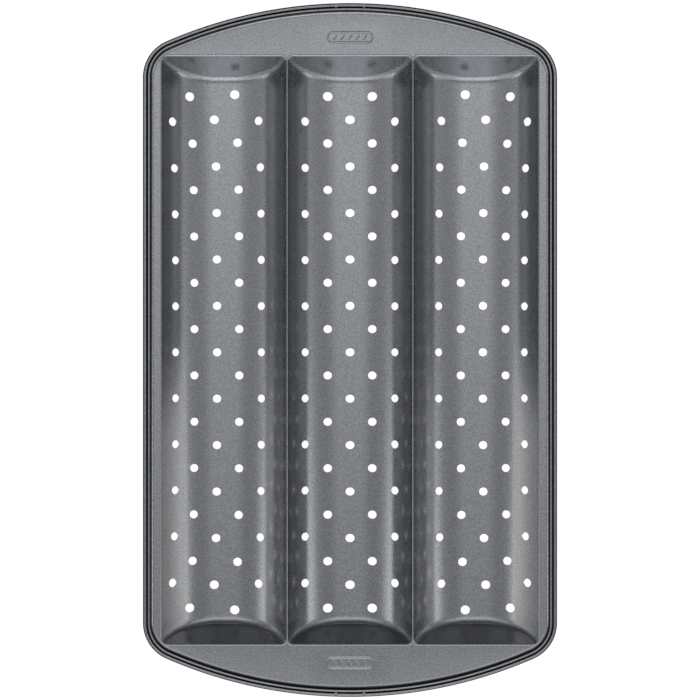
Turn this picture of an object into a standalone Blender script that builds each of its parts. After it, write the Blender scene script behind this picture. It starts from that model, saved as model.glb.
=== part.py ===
"""Perforated baguette tray: one pressed steel sheet with three round-bottomed channels, and the two
half-length steel wires that its rolled rim is closed over.

Lengths are in millimetres and become metres when the meshes are made. X runs across the channels,
Y runs along them, and Z = 0 is the underside of the three flat lands that the tray rests on.
"""

import math

import bpy
import numpy as np
from mathutils import Vector
from mathutils.geometry import delaunay_2d_cdt

METRES = 0.001
MERGE = 1e-6

# Plan outline: straight sides, one long bowed arc at each end, and round corners.
HALF_WIDTH = 125.0
HALF_LENGTH = 209.4
END_RADIUS = 278.0
CORNER_RADIUS = 23.5

# Sheet and channels. Heights in this block are measured from the top face of the flange.
SHEET = 0.6
CHANNEL_PITCH = 76.2
CHANNEL_DEPTH = 25.0
LAND_HALF = 5.0
CHANNEL_RADIUS = 34.0
CHANNEL_END = 177.6
END_DRAFT = math.radians(22.5)
FOOT_FILLET = 3.0
FLANGE_EDGE = 0.8
RIDGE_EDGE = 0.9

# Raised rim: a concave fillet, a steep wall, a rounded rib, a narrow valley and the rolled bead.
# Distances are in from the outline, heights are over the flange.
RIM_WIDTH = 6.81
RIM_FILLET = 1.8
WALL_ANGLE = math.radians(78)
RIB_IN = 3.8
RIB_RADIUS = 1.0
RIB_TOP = 3.0
BEAD_RADIUS = 1.35
BEAD_TOP = 2.3
BEAD_START = math.radians(145)
BEAD_END = math.radians(-135)

# Reinforcing wire inside the bead, in two halves with a small gap between their ends.
WIRE_RADIUS = 0.5
WIRE_GAP = 0.6
WIRE_SIDES = 8

# Punched holes: staggered rows of two and three holes in each channel.
HOLE_COLUMN = 13.6
HOLE_ROW = 13.7
HOLE_ROW_STRETCH = 0.022
HOLE_ROWS_EACH_WAY = 11
HOLE_SHIFT = -1.4
HOLE_LENGTH = 4.95
HOLE_WIDTH_MIDDLE = 5.5
HOLE_WIDTH_SIDE = 5.15
HOLE_SIDES = 8
EVEN_COLUMNS = (0, 2, 4, 6, 8)
ODD_COLUMNS = (1, 5, 7)
OUTER_COLUMN = 8
OUTER_PULL = 2.7
END_SPREAD = 2.8
END_SPREAD_FADE = 0.62
END_PULL = 0.5
END_PULL_INNER = 1.5

FLANGE_TOP = CHANNEL_DEPTH + SHEET
MIDDLE_ZONE = 160.0
END_STATIONS = 7


def clear_scene():
    for thing in list(bpy.data.objects):
        bpy.data.objects.remove(thing, do_unlink=True)


def make_material(name, colour, roughness, metallic):
    material = bpy.data.materials.new(name)
    material.use_nodes = True
    shader = material.node_tree.nodes["Principled BSDF"]
    shader.inputs["Base Color"].default_value = (*colour, 1.0)
    shader.inputs["Roughness"].default_value = roughness
    shader.inputs["Metallic"].default_value = metallic
    material.diffuse_color = (*colour, 1.0)
    return material


def make_object(name, points, faces, material):
    """A mesh object from points in millimetres."""
    mesh = bpy.data.meshes.new(name)
    mesh.from_pydata([Vector(point) * METRES for point in points], [], faces)
    mesh.materials.append(material)
    mesh.shade_smooth()
    thing = bpy.data.objects.new(name, mesh)
    bpy.context.scene.collection.objects.link(thing)
    return thing


def round_union(first, second, radius):
    """Signed distance to two joined spaces, with the edge between them rounded."""
    reach = np.hypot(np.maximum(radius - first, 0), np.maximum(radius - second, 0))
    return np.maximum(radius, np.minimum(first, second)) - reach


def round_overlap(first, second, radius):
    """Signed distance to the space inside both, with a fillet where they meet."""
    reach = np.hypot(np.maximum(radius + first, 0), np.maximum(radius + second, 0))
    return np.minimum(-radius, np.maximum(first, second)) + reach


def space_above(x, y, z):
    """Signed distance to the open space above the sheet, negative in the open."""
    centre_height = CHANNEL_RADIUS - CHANNEL_DEPTH
    channels = None
    for centre in (-CHANNEL_PITCH, 0.0, CHANNEL_PITCH):
        across = np.maximum(np.abs(x - centre) - LAND_HALF, 0)
        channel = np.hypot(across, z - centre_height) - CHANNEL_RADIUS
        channels = channel if channels is None else round_union(channels, channel, RIDGE_EDGE)
    past_end = (np.abs(y) - CHANNEL_END - z * math.tan(END_DRAFT)) * math.cos(END_DRAFT)
    return round_union(-z, round_overlap(channels, past_end, FOOT_FILLET), FLANGE_EDGE)


def sheet_height(x, y):
    """Height of the sheet's top face over a point of the plan, found by halving."""
    x, y = np.broadcast_arrays(np.asarray(x, float), np.asarray(y, float))
    low = np.full(x.shape, -CHANNEL_DEPTH - 1.0)
    high = np.full(x.shape, 1.0)
    for _ in range(40):
        middle = (low + high) / 2
        is_open = space_above(x, y, middle) < 0
        high = np.where(is_open, middle, high)
        low = np.where(is_open, low, middle)
    return np.minimum((low + high) / 2, 0.0)


def outline():
    """Points of the plan outline and their outward normals, once round from the +X side."""
    inner = HALF_WIDTH - CORNER_RADIUS
    end_centre = HALF_LENGTH - END_RADIUS
    corner_y = end_centre + math.sqrt((END_RADIUS - CORNER_RADIUS) ** 2 - inner**2)
    turn = math.atan2(corner_y - end_centre, inner)
    quarter = [((HALF_WIDTH, 0.0), 0.0)]
    for angle in np.linspace(0, turn, 7):
        point = (inner + CORNER_RADIUS * math.cos(angle), corner_y + CORNER_RADIUS * math.sin(angle))
        quarter.append((point, angle))
    for angle in np.linspace(turn, math.pi / 2, 8)[1:]:
        point = (END_RADIUS * math.cos(angle), end_centre + END_RADIUS * math.sin(angle))
        quarter.append((point, angle))
    half = quarter + [((-x, y), math.pi - angle) for (x, y), angle in reversed(quarter[:-1])]
    loop = half + [((-x, -y), angle + math.pi) for (x, y), angle in half[1:-1]]
    points = np.array([point for point, _ in loop])
    normals = np.array([(math.cos(angle), math.sin(angle)) for _, angle in loop])
    return points, normals


def channel_lines():
    """Plan X of the lines that run along the sheet, where its faces meet."""
    across = [LAND_HALF + CHANNEL_RADIUS * math.sin(math.radians(a)) for a in (0, 16.5, 33, 49, 63)]
    lines = [side * x for side in (-1, 1) for x in across]
    lines = [centre + x for centre in (-CHANNEL_PITCH, 0.0, CHANNEL_PITCH) for x in lines]
    for side in (-1, 1):
        ridge = side * CHANNEL_PITCH / 2
        lines += [ridge + step for step in (-1.1, -0.5, 0.0, 0.5, 1.1)]
        lines += [side * x for x in (113.7, 114.25, 114.95)]
    return sorted(lines)


def even_bend_stations(x, limit, count):
    """Y values along one line, closer together where the sheet bends."""
    y = np.linspace(MIDDLE_ZONE, limit, 400)
    slope = np.arctan(np.gradient(sheet_height(x, y), y))
    share = np.concatenate([[0], np.cumsum(np.abs(np.diff(slope)) + 0.3 / len(y))])
    return np.interp(np.linspace(0, share[-1], count), share, y)


def hole_centre(column, row, side):
    """Plan centre of one hole. Metal drawn deeper, and the last rows, are stretched further."""
    x = column * HOLE_COLUMN - (OUTER_PULL if column == OUTER_COLUMN else 0.0)
    depth = -float(sheet_height(x, 0.0))
    fade = END_SPREAD_FADE ** (HOLE_ROWS_EACH_WAY - abs(row))
    if column >= min(EVEN_COLUMNS[2:]):
        x += END_SPREAD * fade
    pull = END_PULL_INNER if column == ODD_COLUMNS[1] else END_PULL
    pitch = HOLE_ROW + HOLE_ROW_STRETCH * depth + pull * fade / HOLE_ROWS_EACH_WAY
    return side * x, row * pitch + HOLE_SHIFT


def hole_width(x):
    """Width across the channel: punched round, then stretched or tilted with the sheet."""
    centre = round(x / CHANNEL_PITCH) * CHANNEL_PITCH
    lean = max(abs(x - centre) - LAND_HALF, 0.0) / CHANNEL_RADIUS
    full = HOLE_WIDTH_SIDE if centre else HOLE_WIDTH_MIDDLE
    return full * math.sqrt(1 - lean**2) ** 0.7


def holes():
    """Every hole as its plan centre and width."""
    found = []
    for row in range(-HOLE_ROWS_EACH_WAY, HOLE_ROWS_EACH_WAY + 1):
        columns = ODD_COLUMNS if row % 2 else EVEN_COLUMNS
        for column in columns:
            for side in (1, -1) if column else (1,):
                x, y = hole_centre(column, row, side)
                found.append((x, y, hole_width(x)))
    return found


def hole_rim(x, y, width):
    """The points round one hole."""
    angles = (np.arange(HOLE_SIDES) + 0.5) * 2 * math.pi / HOLE_SIDES
    return np.column_stack([x + width / 2 * np.cos(angles), y + HOLE_LENGTH / 2 * np.sin(angles)])


def flat_plan(loop):
    """The plan cut into triangles: the flange edge, the bend lines and the holes as edges."""
    points = [tuple(point) for point in loop]
    edges = [(i, (i + 1) % len(points)) for i in range(len(points))]
    reach = HALF_LENGTH - RIM_WIDTH
    previous = None
    for x in channel_lines():
        on_edge = np.interp(abs(x), loop[: len(loop) // 4, 0][::-1], loop[: len(loop) // 4, 1][::-1])
        limit = min(CHANNEL_END + 1.2, reach, on_edge - 0.4 if abs(x) > 110 else reach)
        stations = even_bend_stations(x, limit, END_STATIONS)
        column = [-y for y in reversed(stations)] + list(stations)
        first = len(points)
        points += [(x, y) for y in column]
        line = list(range(first, len(points)))
        edges += list(zip(line, line[1:]))
        if previous:
            edges += list(zip(previous, line))
        previous = line
    punched = holes()
    for hole in punched:
        first = len(points)
        points += [tuple(point) for point in hole_rim(*hole)]
        ring = list(range(first, len(points)))
        edges += list(zip(ring, ring[1:] + ring[:1]))
    result = delaunay_2d_cdt([Vector(p) for p in points], edges, [], 0, MERGE, True)
    plan = np.array([tuple(vertex) for vertex in result[0]])
    centres = np.array([(x, y) for x, y, _ in punched])
    halves = np.array([(width / 2, HOLE_LENGTH / 2) for *_, width in punched])
    kept = []
    for face in result[2]:
        middle = plan[list(face)].mean(axis=0)
        if np.min(np.hypot(*((middle - centres) / halves).T)) > 0.9:
            kept.append(tuple(face))
    place = {source: index for index, sources in enumerate(result[3]) for source in sources}
    return plan, kept, [place[i] for i in range(len(loop))]


def plan_heights(plan):
    """Heights of the plan's points. Between the end zones the sheet is flat from line to line."""
    lines = np.array(channel_lines())
    middle = np.interp(plan[:, 0], lines, sheet_height(lines, 0.0))
    ends = sheet_height(plan[:, 0], plan[:, 1])
    return np.where(np.abs(plan[:, 1]) <= MIDDLE_ZONE + MERGE, middle, ends)


def rim_arc(inward, top, radius, first, last, steps):
    """Points of one convex arc of the rim: half a turn faces inwards, zero outwards."""
    angles = np.linspace(first, last, steps + 1)
    return [(inward - radius * math.cos(a), top - radius + radius * math.sin(a)) for a in angles]


def rim_section():
    """The rim's top face as (distance in from the outline, height over the flange)."""
    section = []
    for angle in np.linspace(0, WALL_ANGLE, 3)[1:]:
        rise = RIM_FILLET * (1 - math.cos(angle))
        section.append((RIM_WIDTH - RIM_FILLET * math.sin(angle), rise))
    lean = math.pi / 2 - WALL_ANGLE
    section += rim_arc(RIB_IN, RIB_TOP, RIB_RADIUS, math.pi - lean, lean, 4)
    section += rim_arc(BEAD_RADIUS, BEAD_TOP, BEAD_RADIUS, BEAD_START, BEAD_END, 6)
    return section


def tray_sheet(material):
    """The whole pressed sheet: its top face as one skin, thickened downwards."""
    points, normals = outline()
    plan, faces, ring = flat_plan(points - RIM_WIDTH * normals)
    heights = plan_heights(plan)
    heights[ring] = 0.0
    body = [(x, y, FLANGE_TOP + z) for (x, y), z in zip(plan, heights)]
    for inward, rise in rim_section():
        first = len(body)
        body += [(x, y, FLANGE_TOP + rise) for x, y in points - inward * normals]
        outer = list(range(first, len(body)))
        for i, start in enumerate(ring):
            j = (i + 1) % len(ring)
            faces.append((start, outer[i], outer[j], ring[j]))
        ring = outer
    sheet = make_object("tray_sheet", body, faces, material)
    thicken = sheet.modifiers.new("Sheet thickness", "SOLIDIFY")
    thicken.thickness = SHEET * METRES
    thicken.offset = -1.0
    thicken.use_even_offset = True
    return sheet


def rim_wire(name, side, material):
    """One half of the wire: a round bar along the inside of the bead, from end to end."""
    points, normals = outline()
    keep = [i for i, (x, _) in enumerate(points) if side * x > WIRE_GAP]
    start = next(i for i in keep if (i - 1) % len(points) not in keep)
    path = [(start + step) % len(points) for step in range(len(keep))]
    middle = points[path] - BEAD_RADIUS * normals[path]
    outward = normals[path]
    end = side * np.array((WIRE_GAP / 2, HALF_LENGTH - BEAD_RADIUS))
    middle = np.vstack([end * (1, -1), middle, end])
    outward = np.vstack([(0.0, -side), outward, (0.0, side)])
    height = FLANGE_TOP + BEAD_TOP - BEAD_RADIUS
    body = []
    for centre, normal in zip(middle, outward):
        for angle in np.arange(WIRE_SIDES) * 2 * math.pi / WIRE_SIDES:
            x, y = centre + WIRE_RADIUS * math.cos(angle) * normal
            body.append((x, y, height + WIRE_RADIUS * math.sin(angle)))
    faces = [tuple(range(WIRE_SIDES)), tuple(reversed(range(len(body) - WIRE_SIDES, len(body))))]
    for first in range(0, len(body) - WIRE_SIDES, WIRE_SIDES):
        for i in range(WIRE_SIDES):
            j = (i + 1) % WIRE_SIDES
            faces.append((first + i, first + WIRE_SIDES + i, first + WIRE_SIDES + j, first + j))
    return make_object(name, body, faces, material)


clear_scene()
coating = make_material("nonstick_steel", (0.13, 0.13, 0.137), 0.36, 0.75)
steel = make_material("wire_steel", (0.5, 0.5, 0.5), 0.35, 1.0)
tray_sheet(coating)
rim_wire("rim_wire_left", -1, steel)
rim_wire("rim_wire_right", 1, steel)
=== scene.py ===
"""Looks for the baguette tray: a fine mesh of the sheet, its coating, the wires and the studio."""

import math

import bpy
import numpy as np
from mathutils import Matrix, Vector
from mathutils.geometry import delaunay_2d_cdt


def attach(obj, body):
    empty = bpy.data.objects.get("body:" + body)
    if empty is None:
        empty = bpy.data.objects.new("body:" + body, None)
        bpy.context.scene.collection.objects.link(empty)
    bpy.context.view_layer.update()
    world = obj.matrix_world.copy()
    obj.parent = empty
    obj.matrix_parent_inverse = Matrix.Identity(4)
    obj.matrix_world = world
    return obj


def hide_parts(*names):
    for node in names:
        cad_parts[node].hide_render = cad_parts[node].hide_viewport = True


METRES = 0.001

# The same driving dimensions as the CAD part, in millimetres.
HALF_WIDTH = 125.0
HALF_LENGTH = 209.4
END_RADIUS = 278.0
CORNER_RADIUS = 23.5
SHEET = 0.6
CHANNEL_PITCH = 76.2
CHANNEL_DEPTH = 25.0
LAND_HALF = 5.0
CHANNEL_RADIUS = 34.0
CHANNEL_END = 177.6
END_DRAFT = math.radians(22.5)
FOOT_FILLET = 3.0
FLANGE_EDGE = 0.8
RIDGE_EDGE = 0.9
RIM_WIDTH = 6.81
RIM_FILLET = 1.8
WALL_ANGLE = math.radians(78)
RIB_IN = 3.8
RIB_RADIUS = 1.0
RIB_TOP = 3.0
BEAD_RADIUS = 1.35
BEAD_TOP = 2.3
BEAD_START = math.radians(145)
BEAD_END = math.radians(-135)
FLANGE_TOP = CHANNEL_DEPTH + SHEET

# Punched holes.
HOLE_COLUMN = 13.6
HOLE_ROW = 13.7
HOLE_ROW_STRETCH = 0.022
HOLE_ROWS_EACH_WAY = 11
HOLE_SHIFT = -1.4
HOLE_LENGTH = 4.95
HOLE_WIDTH_MIDDLE = 5.5
HOLE_WIDTH_SIDE = 5.15
EVEN_COLUMNS = (0, 2, 4, 6, 8)
ODD_COLUMNS = (1, 5, 7)
OUTER_COLUMN = 8
OUTER_PULL = 2.7
END_SPREAD = 2.8
END_SPREAD_FADE = 0.62
END_STRETCH = 0.12
END_PULL = 0.5
END_PULL_INNER = 1.5
HOLE_SIDES = 24
# How strongly a slope narrows the holes in it.
SLOPE_POWER = 0.7

# Crimps that hold the wire ends, two in the bead at each end of the tray.
CRIMP_X = 8.5
CRIMP_DEPTH = 0.5
CRIMP_LIFT = 0.45
CRIMP_LENGTH = 0.8
CRIMP_ANGLE = math.radians(85)
CRIMP_SPREAD = math.radians(24)
LIFT_SPREAD = math.radians(14)

# A small generic mark raised in each end flange: the outline of a loaf with slanted cuts.
MARK_Y = 189.0
LOAF_HALF = 10.5
LOAF_RADIUS = 3.1
CUT_PLACES = (-9.0, -4.5, 0.0, 4.5, 9.0)
CUT_HALF = 1.4
CUT_TILT = math.radians(55)
MARK_LINE = 0.35
MARK_RISE = 0.28
MARK_PATCH = (14.7, 4.2)
MARK_STEP = 0.3

# How finely the height of the sheet is found: halvings, and how far past the sheet they start.
HALVINGS = 36
HALVING_MARGIN = 1.0

# Lines along the sheet: how far out they reach, and how they share between bends and level parts.
LINES = 200
LINES_REACH = 115.2
LINES_SAMPLES = 6000
LINES_AT_BENDS = 12.0
LINES_SPACING = 2.2

# Points on each line: evenly in the middle zone, closer at the bends of the end walls.
STATIONS_MIDDLE = 60
STATIONS_END = 22
STATIONS_SAMPLES = 700
STATIONS_LEVEL = 1.6
MIDDLE_ZONE = 158.0
PAST_CHANNEL_END = 1.3
EDGE_CLEARANCE = 0.4
CORNER_ZONE = 108.0

# How close to a hole's centre points, lines and triangles are kept, as a share of the hole.
POINT_CLEARANCE = 1.22
LINE_CLEARANCE = 1.1
FACE_CLEARANCE = 0.97
# Places checked along each line, and how close two points have to be to count as one.
LINE_CHECKS = 9
SAME_POINT = 1e-6

# Points round a quarter of the outline, with more of them at the crimps.
SIDE_POINTS = 8
CORNER_POINTS = 17
END_POINTS = 42
CRIMP_POINTS = 13
CRIMP_REACH = 2.2
CRIMP_CLEARANCE = 2.6

# Steps in the section of the rim.
FILLET_POINTS = 8
RIB_STEPS = 12
BEAD_STEPS = 20
SHARP_ANGLE = math.radians(38)

# Coating: grain and slow clouds in the colour, as scale, detail and roughness of the noise.
GRAIN = (1100.0, 2.0, 0.6)
GRAIN_RANGE = (0.3, 0.7)
CLOUDS = (35.0, 3.0, 0.5)
CLOUD_SHARE = 0.25
CLOUD_COLOUR = (0.40, 0.41, 0.44)
BODY_COLOURS = ((0.36, 0.365, 0.38), (0.55, 0.555, 0.57))
BODY_ROUGHNESS = 0.165
GRAIN_ROUGHNESS = 0.05
RELIEF = (900.0, 3.0, 0.6)
RELIEF_STRENGTH = 0.25
RELIEF_HEIGHT = 0.00006

# Painted shade: steep faces of the rim and the bead are painted near black, standing in for the dark
# they reflect: heights where the rim and the bead start, in millimetres, how level a face is when it
# stays grey, and how far a face looks outwards when it is on the bead.
PAINTED_SHADE_COLOUR = (0.02, 0.02, 0.02)
RIM_START = (FLANGE_TOP + 0.5, FLANGE_TOP + 1.0)
BEAD_START_HEIGHT = (FLANGE_TOP - 0.6, FLANGE_TOP - 0.4)
LEVEL_FACE = (0.78, 0.99)
OUTWARD_FACE = (0.0, 0.02)

# Painted light: outer walls painted pale, and made rough, low down in front, where light falls on them:
# ends of each fade, in millimetres, and the lean of a wall.
LIT_WALL_COLOURS = ((0.72, 0.71, 0.69), (1.0, 0.99, 0.96))
LIT_WALL_ROUGHNESS = 0.28
LIT_WALL_OUT = (98.5, 103.5)
LIT_WALL_TOP = (FLANGE_TOP - 2.1, FLANGE_TOP - 0.1)
LIT_WALL_BACK = (-60.0, 20.0)
LIT_WALL_LEAN = (0.15, 0.45)

# Drawn steel of the wires.
STREAKS = (700.0, 2.0, 0.5)
STEEL_COLOURS = ((0.42, 0.42, 0.42), (0.58, 0.58, 0.57))
STEEL_ROUGHNESS = 0.25
STREAK_ROUGHNESS = 0.2
STREAK_STRENGTH = 0.2
STREAK_HEIGHT = 0.00005

# Floor.
FLOOR_HALF = 3.0
FLOOR_DROP = 0.0005
FLOOR_COLOUR = (0.3, 0.3, 0.3)
FLOOR_ROUGHNESS = 0.9
FLOOR_GLOW = 0.95

# Studio dome: soft lamps at the same place on both sides, as direction, spread and brightness.
# Directions are (out to the side, towards the back, up).
DOME_BASE = 0.08
DOME_COLOUR = (0.95, 0.97, 1.0)
DOME_LAMPS = (
    ((0.0, -1.0, 0.15), 0.25, 0.7),
    ((1.0, -1.0, 0.2), 0.25, 0.4),
    ((1.0, 0.0, 0.15), 0.28, 0.4),
    ((1.0, 1.0, 0.2), 0.25, 0.1),
    ((0.0, -1.0, 0.8), 0.25, 0.95),
    ((0.0, -1.0, 1.8), 0.18, 0.3),
    ((1.0, -1.0, 1.0), 0.25, 0.5),
    ((1.0, 0.0, 0.8), 0.3, 0.14),
    ((1.0, 1.0, 1.7), 0.3, 0.4),
    ((0.2, 1.0, 4.2), 0.25, 0.66),
)
# Glow from under the tray: how steeply down and how far in front it starts.
GLOW_BELOW = 0.08
GLOW_DOWN = (0.02, 0.2)
GLOW_FRONT = (0.0, 0.4)
# Two big panels in front, one on each side, and how far out to the side they start.
PANEL_LEAN = 0.2
PANEL_LEAN_START = 0.2
PANEL_EDGE = 0.03
PANEL_SIDE = (0.7, 0.92)
PANEL_BRIGHTNESS = 0.65

# Camera: straight above. Its height over the flange and the width it sees there are in metres.
CAMERA_HEIGHT = 1.5
PLAN_SEEN = 0.4228
SENSOR_WIDTH = 36.0


# ---- shape of the sheet ------------------------------------------------------------------------

def round_union(first, second, radius):
    """Signed distance to two joined spaces, with the edge between them rounded."""
    reach = np.hypot(np.maximum(radius - first, 0), np.maximum(radius - second, 0))
    return np.maximum(radius, np.minimum(first, second)) - reach


def round_overlap(first, second, radius):
    """Signed distance to the space inside both, with a fillet where they meet."""
    reach = np.hypot(np.maximum(radius + first, 0), np.maximum(radius + second, 0))
    return np.minimum(-radius, np.maximum(first, second)) + reach


def space_above(x, y, z):
    """Signed distance to the open space above the sheet, negative in the open."""
    centre_height = CHANNEL_RADIUS - CHANNEL_DEPTH
    channels = None
    for centre in (-CHANNEL_PITCH, 0.0, CHANNEL_PITCH):
        across = np.maximum(np.abs(x - centre) - LAND_HALF, 0)
        channel = np.hypot(across, z - centre_height) - CHANNEL_RADIUS
        channels = channel if channels is None else round_union(channels, channel, RIDGE_EDGE)
    past_end = (np.abs(y) - CHANNEL_END - z * math.tan(END_DRAFT)) * math.cos(END_DRAFT)
    return round_union(-z, round_overlap(channels, past_end, FOOT_FILLET), FLANGE_EDGE)


def sheet_height(x, y):
    """Height of the sheet's top face over points of the plan, found by halving."""
    x, y = np.broadcast_arrays(np.asarray(x, float), np.asarray(y, float))
    low = np.full(x.shape, -CHANNEL_DEPTH - HALVING_MARGIN)
    high = np.full(x.shape, HALVING_MARGIN)
    for _ in range(HALVINGS):
        middle = (low + high) / 2
        is_open = space_above(x, y, middle) < 0
        high = np.where(is_open, middle, high)
        low = np.where(is_open, low, middle)
    return np.minimum((low + high) / 2, 0.0)


def outline():
    """Points of the plan outline and their outward normals, once round from the +X side."""
    inner = HALF_WIDTH - CORNER_RADIUS
    end_centre = HALF_LENGTH - END_RADIUS
    corner_y = end_centre + math.sqrt((END_RADIUS - CORNER_RADIUS) ** 2 - inner**2)
    turn = math.atan2(corner_y - end_centre, inner)
    quarter = [((HALF_WIDTH, y), 0.0) for y in np.linspace(0, corner_y, SIDE_POINTS)[:-1]]
    for angle in np.linspace(0, turn, CORNER_POINTS):
        point = (inner + CORNER_RADIUS * math.cos(angle), corner_y + CORNER_RADIUS * math.sin(angle))
        quarter.append((point, angle))
    crimp = math.acos(CRIMP_X / END_RADIUS)
    close = np.linspace(-CRIMP_REACH, CRIMP_REACH, CRIMP_POINTS) / END_RADIUS + crimp
    along = np.linspace(turn, math.pi / 2, END_POINTS)[1:]
    along = along[np.abs(along - crimp) > CRIMP_CLEARANCE / END_RADIUS]
    for angle in np.sort(np.concatenate([along, close])):
        point = (END_RADIUS * math.cos(angle), end_centre + END_RADIUS * math.sin(angle))
        quarter.append((point, angle))
    half = quarter + [((-x, y), math.pi - angle) for (x, y), angle in reversed(quarter[:-1])]
    loop = half + [((-x, -y), angle + math.pi) for (x, y), angle in half[1:-1]]
    points = np.array([point for point, _ in loop])
    normals = np.array([(math.cos(angle), math.sin(angle)) for _, angle in loop])
    return points, normals


def bend_lines():
    """Plan X of lines along the sheet, closer together where it bends."""
    x = np.linspace(0.0, LINES_REACH, LINES_SAMPLES)
    lean = np.arctan(np.gradient(sheet_height(x, 0.0), x))
    weight = np.abs(np.diff(lean)) * LINES_AT_BENDS + np.diff(x) / LINES_SPACING
    share = np.concatenate([[0], np.cumsum(weight)])
    half = np.interp(np.linspace(0, share[-1], LINES // 2), share, x)
    return np.concatenate([-half[:0:-1], half])


def bend_stations(x, limit):
    """Y of points along one line, closer together where the end wall bends."""
    y = np.linspace(MIDDLE_ZONE, limit, STATIONS_SAMPLES)
    lean = np.arctan(np.gradient(sheet_height(x, y), y))
    weight = np.abs(np.diff(lean)) + STATIONS_LEVEL / STATIONS_SAMPLES
    share = np.concatenate([[0], np.cumsum(weight)])
    return np.interp(np.linspace(0, share[-1], STATIONS_END), share, y)


def holes():
    """Every hole as (x, y, half width, half length)."""
    found = []
    for row in range(-HOLE_ROWS_EACH_WAY, HOLE_ROWS_EACH_WAY + 1):
        fade = END_SPREAD_FADE ** (HOLE_ROWS_EACH_WAY - abs(row))
        for column in ODD_COLUMNS if row % 2 else EVEN_COLUMNS:
            x = column * HOLE_COLUMN - (OUTER_PULL if column == OUTER_COLUMN else 0.0)
            depth = -float(sheet_height(x, 0.0))
            pull = END_PULL_INNER if column == ODD_COLUMNS[1] else END_PULL
            spacing = HOLE_ROW + HOLE_ROW_STRETCH * depth + pull * fade / HOLE_ROWS_EACH_WAY
            y = row * spacing + HOLE_SHIFT
            centre = round(x / CHANNEL_PITCH) * CHANNEL_PITCH
            lean = max(abs(x - centre) - LAND_HALF, 0.0) / CHANNEL_RADIUS
            width = HOLE_WIDTH_SIDE if centre else HOLE_WIDTH_MIDDLE
            width *= math.sqrt(1 - lean**2) ** SLOPE_POWER
            spread = END_SPREAD * fade if column > EVEN_COLUMNS[1] else 0.0
            grow = 1 + END_STRETCH * fade
            for side in (1, -1) if column else (1,):
                found.append((side * (x + spread), y, width / 2 * grow, HOLE_LENGTH / 2 * grow))
    return np.array(found)


def bar_gap(x, y, tilt, half, radius):
    """Distance from points to the edge of a round-ended bar, negative inside it."""
    along = x * math.cos(tilt) + y * math.sin(tilt)
    across = y * math.cos(tilt) - x * math.sin(tilt)
    return np.hypot(np.maximum(np.abs(along) - half, 0), across) - radius


def mark_rise(x, y):
    """Height of the raised mark over the end flanges."""
    from_mark = np.abs(y) - MARK_Y
    gap = np.abs(bar_gap(x, from_mark, 0.0, LOAF_HALF, LOAF_RADIUS)) - MARK_LINE
    for place in CUT_PLACES:
        gap = np.minimum(gap, bar_gap(x - place, from_mark, CUT_TILT, CUT_HALF, MARK_LINE))
    share = np.clip(0.5 - gap / (2 * MARK_LINE), 0, 1)
    return MARK_RISE * share * share * (3 - 2 * share)


def inside_hole(points, punched):
    """Distance of each point to its nearest hole's centre, as a share of the hole: below 1 is inside."""
    nearest = np.full(len(points), np.inf)
    for x, y, half_width, half_length in punched:
        far = np.hypot((points[:, 0] - x) / half_width, (points[:, 1] - y) / half_length)
        nearest = np.minimum(nearest, far)
    return nearest


class Plan:
    """Points and edges of the flat plan before it is cut into triangles."""

    def __init__(self, loop):
        self.points = [tuple(point) for point in loop]
        self.edges = []
        self.close_ring(range(len(self.points)))

    def close_ring(self, ring):
        ring = list(ring)
        self.edges += list(zip(ring, ring[1:] + ring[:1]))

    def add(self, points):
        first = len(self.points)
        self.points += [tuple(point) for point in points]
        return range(first, len(self.points))


def add_lines(plan, loop, punched):
    """Lines of points along the channels, left out where a hole is."""
    quarter = loop[: len(loop) // 4]
    middle = np.linspace(-MIDDLE_ZONE, MIDDLE_ZONE, STATIONS_MIDDLE)
    for x in bend_lines():
        on_edge = np.interp(abs(x), quarter[:, 0][::-1], quarter[:, 1][::-1])
        limit = CHANNEL_END + PAST_CHANNEL_END
        if abs(x) > CORNER_ZONE:
            limit = min(limit, on_edge - EDGE_CLEARANCE)
        ends = bend_stations(x, limit)
        y = np.concatenate([-ends[::-1], middle[1:-1], ends])
        column = np.column_stack([np.full(len(y), x), y])
        near = punched[np.abs(punched[:, 0] - x) < HOLE_COLUMN / 2]
        clear = inside_hole(column, near) > POINT_CLEARANCE
        indices = plan.add(column[clear])
        kept = np.flatnonzero(clear)
        for i, j, a, b in zip(indices, indices[1:], kept, kept[1:]):
            if b != a + 1:
                continue
            between = np.linspace(column[a], column[b], LINE_CHECKS)
            if np.all(inside_hole(between, near) > LINE_CLEARANCE):
                plan.edges.append((i, j))


def add_holes(plan, punched):
    """A ring of points at each hole."""
    turn = np.arange(HOLE_SIDES) * 2 * math.pi / HOLE_SIDES
    for x, y, half_width, half_length in punched:
        ring = np.column_stack([x + half_width * np.cos(turn), y + half_length * np.sin(turn)])
        plan.close_ring(plan.add(ring))


def add_mark(plan):
    """A fine patch of points where the mark rises from each end flange."""
    x, y = (np.arange(-half, half + MARK_STEP / 2, MARK_STEP) for half in MARK_PATCH)
    grid = np.array([(a, b) for a in x for b in y])
    for side in (-1, 1):
        plan.add(grid + (0.0, side * MARK_Y))


def cut_plan(loop, punched):
    """Triangles over the plan inside the rim, without the holes, and the outline's place in them."""
    plan = Plan(loop)
    add_lines(plan, loop, punched)
    add_holes(plan, punched)
    add_mark(plan)
    corners = [Vector(point) for point in plan.points]
    result = delaunay_2d_cdt(corners, plan.edges, [], 0, SAME_POINT, True)
    points = np.array([tuple(vertex) for vertex in result[0]])
    faces = np.array([tuple(face) for face in result[2]])
    faces = faces[inside_hole(points[faces].mean(axis=1), punched) > FACE_CLEARANCE]
    place = {source: index for index, sources in enumerate(result[3]) for source in sources}
    return points, faces, [place[i] for i in range(len(loop))]


def rim_arc(inward, top, radius, first, last, steps):
    """Points of one convex arc of the rim with their angles: zero faces outwards."""
    angles = np.linspace(first, last, steps + 1)
    return [(inward - radius * math.cos(a), top - radius + radius * math.sin(a), a) for a in angles]


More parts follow.
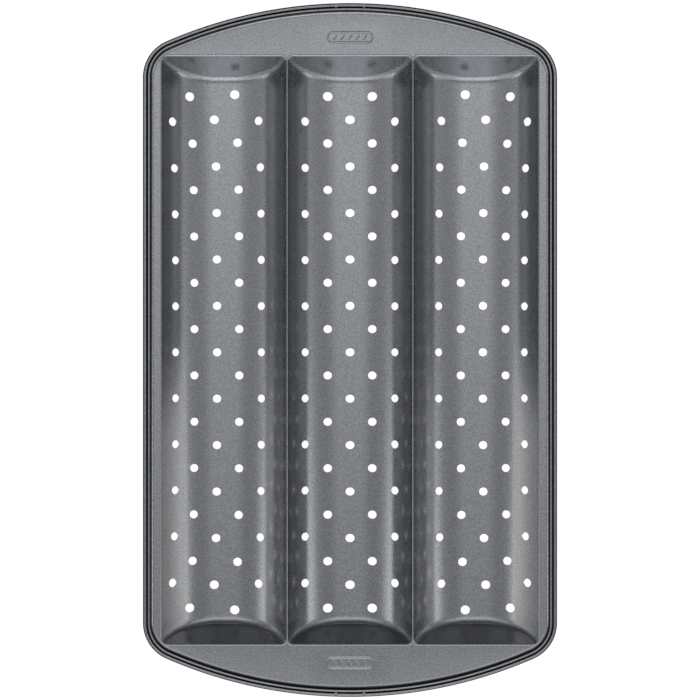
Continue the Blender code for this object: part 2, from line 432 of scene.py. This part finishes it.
def rim_section():
    """The rim's top face as (distance in from the outline, height over the flange, crimp, angle)."""
    section = []
    for angle in np.linspace(0, WALL_ANGLE, FILLET_POINTS)[1:]:
        rise = RIM_FILLET * (1 - math.cos(angle))
        section.append((RIM_WIDTH - RIM_FILLET * math.sin(angle), rise, 0.0, 0.0))
    lean = math.pi / 2 - WALL_ANGLE
    for inward, rise, angle in rim_arc(RIB_IN, RIB_TOP, RIB_RADIUS, math.pi - lean, lean, RIB_STEPS):
        section.append((inward, rise, 0.0, angle))
    bead = rim_arc(BEAD_RADIUS, BEAD_TOP, BEAD_RADIUS, BEAD_START, BEAD_END, BEAD_STEPS)
    for inward, rise, angle in bead:
        press = CRIMP_DEPTH * math.exp(-(((angle - CRIMP_ANGLE) / CRIMP_SPREAD) ** 2))
        lift = CRIMP_LIFT * math.exp(-(((angle - BEAD_START) / LIFT_SPREAD) ** 2))
        section.append((inward, rise, press - lift, angle))
    return section


def crimp_share(points):
    """Share of the crimps' depth at each outline point."""
    along = np.exp(-2 * ((np.abs(points[:, 0]) - CRIMP_X) / CRIMP_LENGTH) ** 2)
    return along * (np.abs(points[:, 1]) > HALF_LENGTH / 2)


def build_sheet():
    """The whole sheet: its top face as one skin, thickened downwards."""
    points, normals = outline()
    loop = points - RIM_WIDTH * normals
    punched = holes()
    plan, faces, ring = cut_plan(loop, punched)
    height = sheet_height(plan[:, 0], plan[:, 1]) + mark_rise(plan[:, 0], plan[:, 1])
    height[ring] = 0.0
    rows = [np.column_stack([plan, FLANGE_TOP + height])]
    count = len(plan)
    faces = [tuple(face) for face in faces.tolist()]
    crimps = crimp_share(points)
    for inward, rise, depth, angle in rim_section():
        press = depth * crimps
        across = inward + press * math.cos(angle)
        up = FLANGE_TOP + rise - press * math.sin(angle)
        rows.append(np.column_stack([points - across[:, None] * normals, up]))
        outer = list(range(count, count + len(points)))
        for i, start in enumerate(ring):
            j = (i + 1) % len(ring)
            faces.append((start, outer[i], outer[j], ring[j]))
        ring = outer
        count += len(points)
    mesh = bpy.data.meshes.new("sheet_skin")
    mesh.from_pydata((np.vstack(rows) * METRES).tolist(), [], faces)
    sheet = bpy.data.objects.new("tray_sheet_fine", mesh)
    bpy.context.scene.collection.objects.link(sheet)
    thicken = sheet.modifiers.new("Sheet thickness", "SOLIDIFY")
    thicken.thickness = SHEET * METRES
    thicken.offset = -1.0
    thicken.use_even_offset = True
    thickened = sheet.evaluated_get(bpy.context.evaluated_depsgraph_get())
    solid = bpy.data.meshes.new_from_object(thickened)
    sheet.modifiers.clear()
    sheet.data = solid
    solid.shade_smooth()
    solid.set_sharp_from_angle(angle=SHARP_ANGLE)
    return sheet


# ---- materials ---------------------------------------------------------------------------------

class Nodes:
    """Short helpers for building a material's node tree."""

    def __init__(self, tree):
        self.tree = tree

    def add(self, kind, **settings):
        node = self.tree.nodes.new(kind)
        for key, value in settings.items():
            setattr(node, key, value)
        return node

    def wire(self, source, target):
        self.tree.links.new(source, target)

    def math(self, operation, first, second=0.0):
        node = self.add("ShaderNodeMath", operation=operation)
        for socket, value in zip(node.inputs, (first, second)):
            if isinstance(value, (int, float)):
                socket.default_value = value
            else:
                self.wire(value, socket)
        return node.outputs[0]

    def product(self, first, *others):
        for value in others:
            first = self.math("MULTIPLY", first, value)
        return first

    def one_less(self, value):
        """One minus a value."""
        return self.math("SUBTRACT", 1.0, value)

    def minus(self, value):
        return self.math("SUBTRACT", 0.0, value)

    def axes(self, vector):
        """The X, Y and Z of a vector."""
        node = self.add("ShaderNodeSeparateXYZ")
        self.wire(vector, node.inputs[0])
        return node.outputs["X"], node.outputs["Y"], node.outputs["Z"]

    def dot(self, first, second):
        """Sum of the products of two lists of values."""
        total = None
        for one, other in zip(first, second):
            term = self.math("MULTIPLY", one, other)
            total = term if total is None else self.math("ADD", total, term)
        return total

    def ramp(self, value, low, high):
        """Smooth rise from 0 at the low value to 1 at the high one."""
        node = self.add("ShaderNodeMapRange", clamp=True, interpolation_type="SMOOTHSTEP")
        node.inputs["From Min"].default_value = low
        node.inputs["From Max"].default_value = high
        self.wire(value, node.inputs["Value"])
        return node.outputs[0]

    def ramp_mm(self, value, low, high):
        return self.ramp(value, low * METRES, high * METRES)

    def mix(self, share, first, second):
        node = self.add("ShaderNodeMix", data_type="RGBA")
        for socket, value in ((node.inputs[6], first), (node.inputs[7], second)):
            if isinstance(value, tuple):
                socket.default_value = (*value, 1.0)
            else:
                self.wire(value, socket)
        self.wire(share, node.inputs[0])
        return node.outputs[2]

    def bump(self, shader, height, strength, distance):
        """Fine relief on a shader's surface."""
        node = self.add("ShaderNodeBump")
        node.inputs["Strength"].default_value = strength
        node.inputs["Distance"].default_value = distance
        self.wire(height, node.inputs["Height"])
        self.wire(node.outputs["Normal"], shader.inputs["Normal"])

    def noise(self, vector, scale, detail, roughness):
        node = self.add("ShaderNodeTexNoise")
        node.inputs["Scale"].default_value = scale
        node.inputs["Detail"].default_value = detail
        node.inputs["Roughness"].default_value = roughness
        self.wire(vector, node.inputs["Vector"])
        return node.outputs["Fac"]


def new_material(name):
    material = bpy.data.materials.new(name)
    material.use_nodes = True
    nodes = Nodes(material.node_tree)
    shader = material.node_tree.nodes["Principled BSDF"]
    return material, nodes, shader


def painted_shade_mask(nodes, place, normal):
    """Share of each point that gets painted shade: a steep face of the rim or of the bead."""
    on_rim = nodes.ramp_mm(place[2], *RIM_START)
    outward = nodes.ramp(nodes.dot(normal[:2], place[:2]), *OUTWARD_FACE)
    on_bead = nodes.product(nodes.ramp_mm(place[2], *BEAD_START_HEIGHT), outward)
    level = nodes.ramp(nodes.math("ABSOLUTE", normal[2]), *LEVEL_FACE)
    return nodes.product(nodes.math("MAXIMUM", on_rim, on_bead), nodes.one_less(level))


def lit_wall_mask(nodes, place, normal):
    """Share of each point that gets painted light: low on an outer wall, in the front half."""
    outside = nodes.ramp_mm(nodes.math("ABSOLUTE", place[0]), *LIT_WALL_OUT)
    below = nodes.one_less(nodes.ramp_mm(place[2], *LIT_WALL_TOP))
    in_front = nodes.one_less(nodes.ramp_mm(place[1], *LIT_WALL_BACK))
    side_wall = nodes.one_less(nodes.ramp(nodes.math("ABSOLUTE", normal[1]), *LIT_WALL_LEAN))
    return nodes.product(outside, below, in_front, side_wall)


def coating_material():
    """Dark metallic non-stick coating with a fine speckle; painted shade makes the rim's steep faces
    near black, and painted light makes the outer walls pale low down in front.
    """
    material, nodes, shader = new_material("nonstick coating")
    position = nodes.add("ShaderNodeTexCoord").outputs["Object"]
    place = nodes.axes(position)
    normal = nodes.axes(nodes.add("ShaderNodeNewGeometry").outputs["Normal"])
    painted_shade = painted_shade_mask(nodes, place, normal)
    lit_wall = lit_wall_mask(nodes, place, normal)
    grain = nodes.ramp(nodes.noise(position, *GRAIN), *GRAIN_RANGE)
    clouds = nodes.math("MULTIPLY", nodes.noise(position, *CLOUDS), CLOUD_SHARE)
    colour = nodes.mix(grain, *BODY_COLOURS)
    colour = nodes.mix(clouds, colour, CLOUD_COLOUR)
    # Painted light: the outer walls are painted pale low down in front.
    colour = nodes.mix(lit_wall, colour, nodes.mix(grain, *LIT_WALL_COLOURS))
    # Painted shade: the rim's steep faces are painted near black.
    colour = nodes.mix(painted_shade, colour, PAINTED_SHADE_COLOUR)
    nodes.wire(colour, shader.inputs["Base Color"])
    rough = nodes.math("ADD", nodes.math("MULTIPLY", grain, GRAIN_ROUGHNESS), BODY_ROUGHNESS)
    rough = nodes.math("ADD", rough, nodes.math("MULTIPLY", lit_wall, LIT_WALL_ROUGHNESS))
    nodes.wire(rough, shader.inputs["Roughness"])
    shader.inputs["Metallic"].default_value = 1.0
    nodes.bump(shader, nodes.noise(position, *RELIEF), RELIEF_STRENGTH, RELIEF_HEIGHT)
    return material


def wire_material():
    """Drawn steel with faint streaks."""
    material, nodes, shader = new_material("drawn steel wire")
    position = nodes.add("ShaderNodeTexCoord").outputs["Object"]
    streak = nodes.noise(position, *STREAKS)
    nodes.wire(nodes.mix(streak, *STEEL_COLOURS), shader.inputs["Base Color"])
    rough = nodes.math("ADD", nodes.math("MULTIPLY", streak, STREAK_ROUGHNESS), STEEL_ROUGHNESS)
    nodes.wire(rough, shader.inputs["Roughness"])
    shader.inputs["Metallic"].default_value = 1.0
    nodes.bump(shader, streak, STREAK_STRENGTH, STREAK_HEIGHT)
    return material


# ---- studio ------------------------------------------------------------------------------------

def floor_material():
    """A pale table that glows evenly, as a lit white sweep does."""
    material, _, shader = new_material("pale floor")
    shader.inputs["Base Color"].default_value = (*FLOOR_COLOUR, 1.0)
    shader.inputs["Roughness"].default_value = FLOOR_ROUGHNESS
    shader.inputs["Emission Color"].default_value = (1.0, 1.0, 1.0, 1.0)
    shader.inputs["Emission Strength"].default_value = FLOOR_GLOW
    return material


def add_floor():
    """The table, left out of reflections so that it doesn't show in the sheet through the holes."""
    mesh = bpy.data.meshes.new("floor")
    corners = [(x * FLOOR_HALF, y * FLOOR_HALF, 0) for x, y in ((-1, -1), (1, -1), (1, 1), (-1, 1))]
    mesh.from_pydata(corners, [], [(0, 1, 2, 3)])
    mesh.materials.append(floor_material())
    floor = bpy.data.objects.new("floor", mesh)
    floor.location.z = -FLOOR_DROP
    floor.visible_glossy = False
    bpy.context.scene.collection.objects.link(floor)


def lamp_glow(nodes, mirrored, direction, spread, brightness):
    """One soft lamp of the dome, fading away from its direction."""
    length = math.hypot(*direction)
    lined_up = nodes.dot(mirrored, [part / length for part in direction])
    fall = nodes.math("DIVIDE", nodes.math("SUBTRACT", lined_up, 1.0), spread**2)
    return nodes.math("MULTIPLY", nodes.math("EXPONENT", fall), brightness)


def panel_glow(nodes, mirrored):
    """The front panels, whose back edge leans forwards from a height up."""
    side, back, up = mirrored
    leaning = nodes.math("MAXIMUM", nodes.math("SUBTRACT", up, PANEL_LEAN_START), 0.0)
    leaning = nodes.math("MULTIPLY", leaning, PANEL_LEAN)
    in_front = nodes.ramp(nodes.minus(nodes.math("ADD", back, leaning)), 0.0, PANEL_EDGE)
    return nodes.product(in_front, nodes.ramp(side, *PANEL_SIDE), PANEL_BRIGHTNESS)


def glow_from_below(nodes, mirrored):
    """Pale glow from under the tray, in front only."""
    below = nodes.ramp(nodes.minus(mirrored[2]), *GLOW_DOWN)
    in_front = nodes.ramp(nodes.minus(mirrored[1]), *GLOW_FRONT)
    return nodes.product(below, in_front, GLOW_BELOW)


def add_world():
    """A dim dome with soft lamps in it, the same on both sides."""
    world = bpy.data.worlds.new("studio")
    world.use_nodes = True
    nodes = Nodes(world.node_tree)
    across, back, up = nodes.axes(nodes.add("ShaderNodeTexCoord").outputs["Generated"])
    mirrored = (nodes.math("ABSOLUTE", across), back, up)
    total = DOME_BASE
    for direction, spread, brightness in DOME_LAMPS:
        total = nodes.math("ADD", total, lamp_glow(nodes, mirrored, direction, spread, brightness))
    total = nodes.math("ADD", total, panel_glow(nodes, mirrored))
    total = nodes.math("ADD", total, glow_from_below(nodes, mirrored))
    background = world.node_tree.nodes["Background"]
    background.inputs["Color"].default_value = (*DOME_COLOUR, 1.0)
    nodes.wire(total, background.inputs["Strength"])
    bpy.context.scene.world = world


def add_camera():
    camera = bpy.data.cameras.new("camera")
    camera.sensor_width = SENSOR_WIDTH
    camera.lens = camera.sensor_width * CAMERA_HEIGHT / PLAN_SEEN
    holder = bpy.data.objects.new("camera", camera)
    holder.location = (0.0, 0.0, FLANGE_TOP * METRES + CAMERA_HEIGHT)
    bpy.context.scene.collection.objects.link(holder)
    bpy.context.scene.camera = holder


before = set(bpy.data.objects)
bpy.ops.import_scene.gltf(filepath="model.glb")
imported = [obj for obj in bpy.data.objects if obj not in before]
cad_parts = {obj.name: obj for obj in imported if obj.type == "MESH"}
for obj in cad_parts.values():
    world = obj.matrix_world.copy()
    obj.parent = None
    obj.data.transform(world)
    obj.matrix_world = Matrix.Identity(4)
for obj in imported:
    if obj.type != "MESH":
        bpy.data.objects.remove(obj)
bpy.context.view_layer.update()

sheet = build_sheet()
sheet.data.materials.clear()
sheet.data.materials.append(coating_material())
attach(sheet, "root")
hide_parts("tray_sheet")

steel = wire_material()
for name in ("rim_wire_left", "rim_wire_right"):
    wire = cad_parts[name]
    wire.data.materials.clear()
    wire.data.materials.append(steel)

add_floor()
add_world()
add_camera()
bpy.context.scene.view_settings.view_transform = "Standard"
